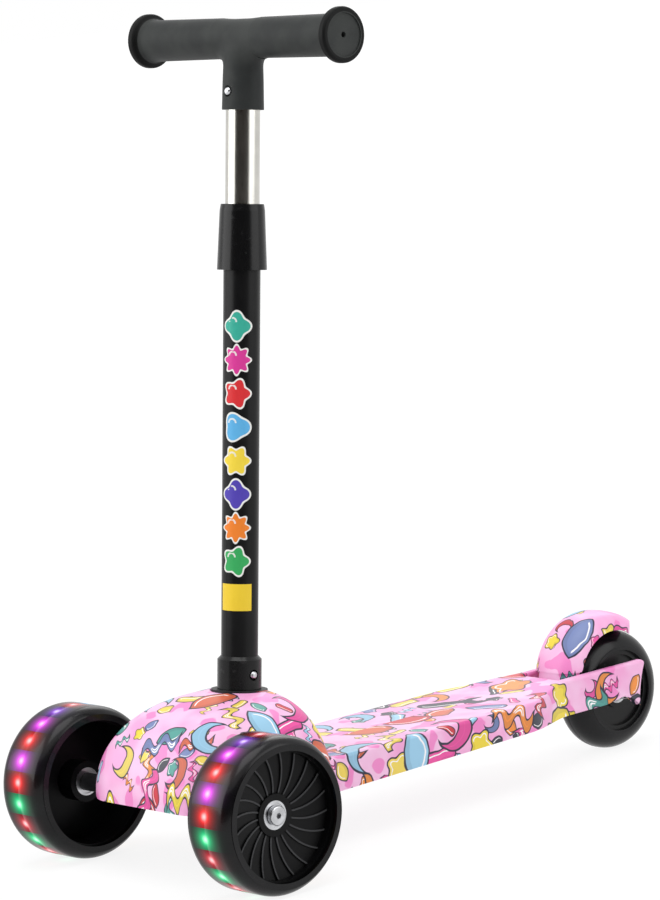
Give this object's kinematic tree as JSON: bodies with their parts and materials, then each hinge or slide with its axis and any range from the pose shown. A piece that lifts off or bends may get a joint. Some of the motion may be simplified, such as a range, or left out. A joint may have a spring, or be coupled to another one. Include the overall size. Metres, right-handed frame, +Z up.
{
  "type": "kick scooter",
  "caption": "Three-wheeled children's kick scooter: lean-steer front truck under a domed cover, telescopic stem with T handle, printed deck, light-up front wheels and a fender foot brake.",
  "frame": {"origin": "on the ground under the middle of the scooter's length, on its centre plane", "axes": "+X forward, +Y to the rider's left, +Z up"},
  "size_m": [0.59, 0.2714, 0.6467],
  "materials": {
    "printed_pink": "glossy printed plastic",
    "black_gloss": "glossy moulded plastic",
    "black_matte": "fine moulded texture",
    "grip_grey": "satin moulded rubber",
    "chrome_tube": "polished chrome",
    "black_paint": "satin powder coat",
    "bright_steel": "zinc-plated steel",
    "spring_steel": "plain spring steel",
    "wheel_polyurethane": "glossy cast polyurethane",
    "light_lens": "clear lens",
    "copper_coil": "enamelled wire",
    "magnet_grey": "sintered ferrite",
    "bumper_rubber": "moulded rubber"
  },
  "bodies": {
    "frame": {"deck": "printed_pink", "front_cover": "printed_pink", "head_bracket": "black_matte", "king_pin": "bright_steel", "king_pin_nut": "bright_steel", "stem_socket": "black_gloss", "socket_ring": "black_matte", "lower_tube": "black_paint", "collet": "black_matte", "stem_button_spring": "spring_steel", "deck_screws": "bright_steel", "cover_screws": "bright_steel", "rear_axle_bolt": "bright_steel", "rear_axle_nut": "bright_steel", "rear_axle_spacers": "bright_steel", "fender_pin": "bright_steel", "brake_spring": "spring_steel", "steer_bumpers": "bumper_rubber"},
    "stem_button": {"stem_button": "bright_steel"},
    "height_collar": {"height_collar": "black_gloss"},
    "handlebar": {"upper_tube": "chrome_tube", "tube_plug": "black_matte", "handlebar_tee": "grip_grey", "left_grip": "grip_grey", "right_grip": "grip_grey", "handle_button_spring": "spring_steel"},
    "handle_button": {"handle_button": "bright_steel"},
    "truck": {"truck_beam": "black_matte", "left_axle_bolt": "bright_steel", "left_axle_spacer": "bright_steel", "left_light_magnet": "magnet_grey", "right_axle_bolt": "bright_steel", "right_axle_spacer": "bright_steel", "right_light_magnet": "magnet_grey"},
    "left_wheel": {"left_tyre": "wheel_polyurethane", "left_hub": "black_gloss", "left_lights": "light_lens", "left_light_coil": "copper_coil", "left_bearings": "bright_steel"},
    "right_wheel": {"right_tyre": "wheel_polyurethane", "right_hub": "black_gloss", "right_lights": "light_lens", "right_light_coil": "copper_coil", "right_bearings": "bright_steel"},
    "rear_wheel": {"rear_tyre": "wheel_polyurethane", "rear_hub": "black_gloss", "rear_bearings": "bright_steel"},
    "fender": {"fender": "printed_pink", "brake_pad": "bumper_rubber"}
  },
  "joints": [
    {"name": "truck_steer", "type": "hinge", "parent": "frame", "child": "truck", "pos_m": [0.203, 0, 0.06], "axis": [0.5736, 0, 0.8192], "range_deg": [-10, 10], "stiffness_Nm_per_rad": 60, "deforming": ["steer_bumpers"]},
    {"name": "left_wheel_spin", "type": "hinge", "parent": "truck", "child": "left_wheel", "pos_m": [0.235, 0.111, 0.06], "axis": [0, 1, 0], "continuous": true},
    {"name": "right_wheel_spin", "type": "hinge", "parent": "truck", "child": "right_wheel", "pos_m": [0.235, -0.111, 0.06], "axis": [0, 1, 0], "continuous": true},
    {"name": "rear_wheel_spin", "type": "hinge", "parent": "frame", "child": "rear_wheel", "pos_m": [-0.245, 0, 0.05], "axis": [0, 1, 0], "continuous": true},
    {"name": "handlebar_height", "type": "slide", "parent": "frame", "child": "handlebar", "axis": [-0.1167, 0, 0.9932], "range_m": [-0.07, 0.09]},
    {"name": "collar_twist", "type": "hinge", "parent": "frame", "child": "height_collar", "pos_m": [0.11586, 0, 0.47501], "axis": [-0.1167, 0, 0.9932], "range_deg": [0, 90]},
    {"name": "handle_button_press", "type": "slide", "parent": "handlebar", "child": "handle_button", "axis": [-0.9932, 0, -0.1167], "range_m": [0, 0.003], "stiffness_N_per_m": 1500, "springref_m": -0.002, "deforming": ["handle_button_spring"]},
    {"name": "stem_button_press", "type": "slide", "parent": "frame", "child": "stem_button", "axis": [0, -1, 0], "range_m": [0, 0.003], "stiffness_N_per_m": 1500, "springref_m": -0.002, "deforming": ["stem_button_spring"]},
    {"name": "fender_brake", "type": "hinge", "parent": "frame", "child": "fender", "pos_m": [-0.17902, 0, 0.06163], "axis": [0, -1, 0], "range_deg": [0, 3.5], "stiffness_Nm_per_rad": 4, "springref_deg": -8.59, "deforming": ["brake_spring"]}
  ]
}
